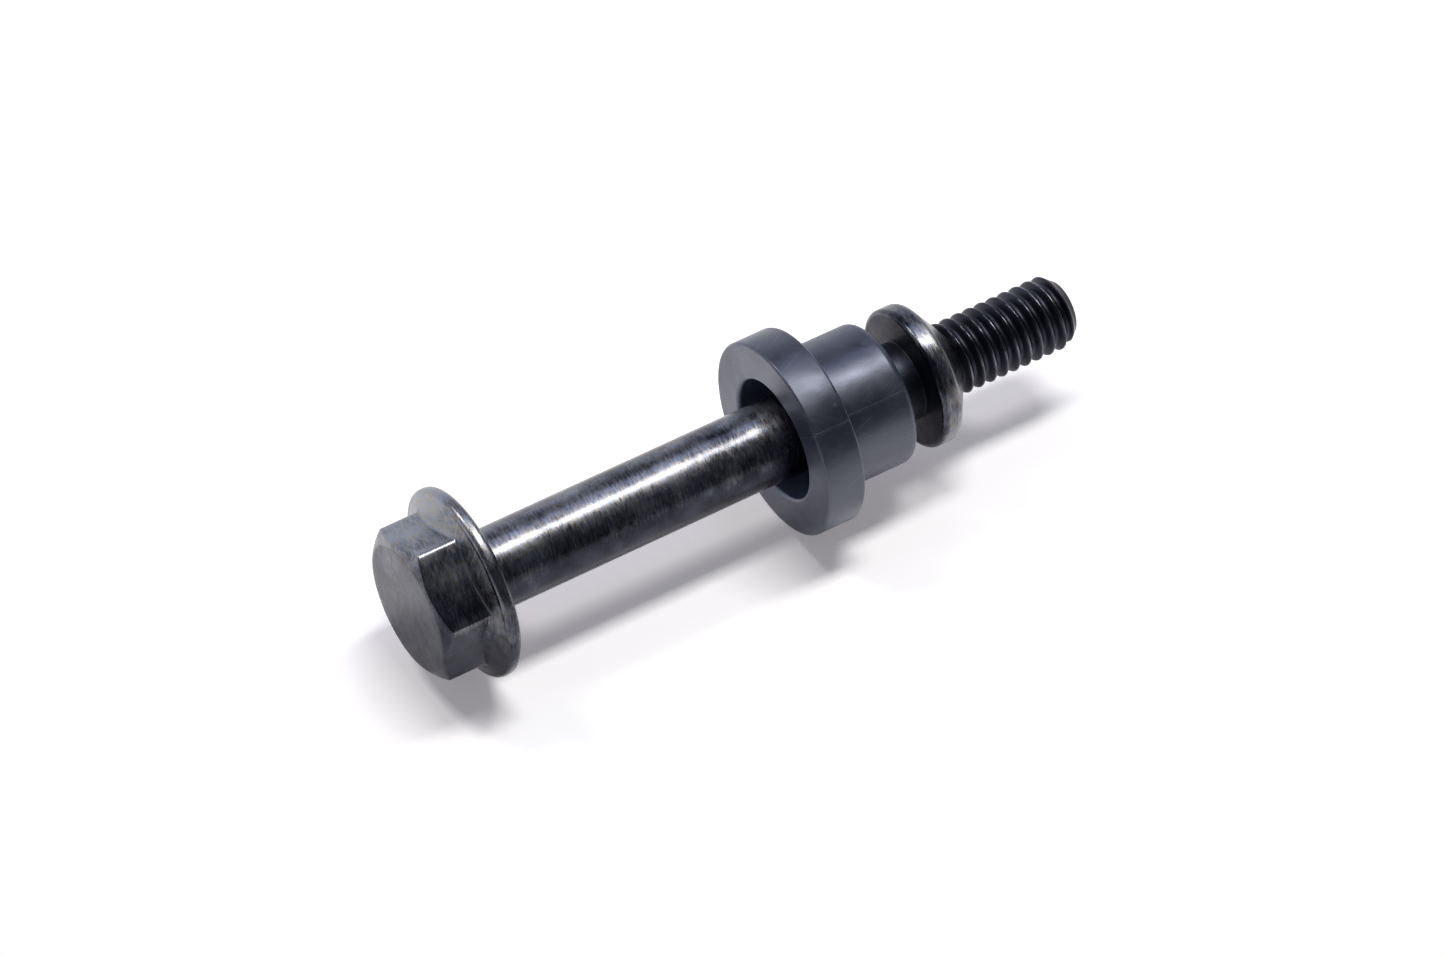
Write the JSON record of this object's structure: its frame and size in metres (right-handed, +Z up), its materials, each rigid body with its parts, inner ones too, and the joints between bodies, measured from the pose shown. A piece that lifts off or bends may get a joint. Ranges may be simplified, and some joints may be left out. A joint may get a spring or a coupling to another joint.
{
  "type": "hex flange shoulder bolt with captive rubber bush",
  "caption": "Black hex flange shoulder bolt with a long plain shank, an integral collar and a short thread, and a stepped rubber bush that slides captive on the shank.",
  "frame": {"origin": "on the bolt's axis, where the thread meets the collar's cone", "axes": "+X along the bolt from head to thread, +Z up when the bolt lies on its side"},
  "size_m": [0.0771, 0.021, 0.021],
  "materials": {
    "black_steel": "oiled black oxide, worn bright on edges",
    "rubber": "matt moulded rubber"
  },
  "bodies": {
    "bolt": {"bolt": "black_steel"},
    "bush": {"bush": "rubber"}
  },
  "joints": [
    {"name": "bush_slide", "type": "slide", "parent": "bolt", "child": "bush", "axis": [1, 0, 0], "range_m": [-0.035, 0.0028]}
  ]
}
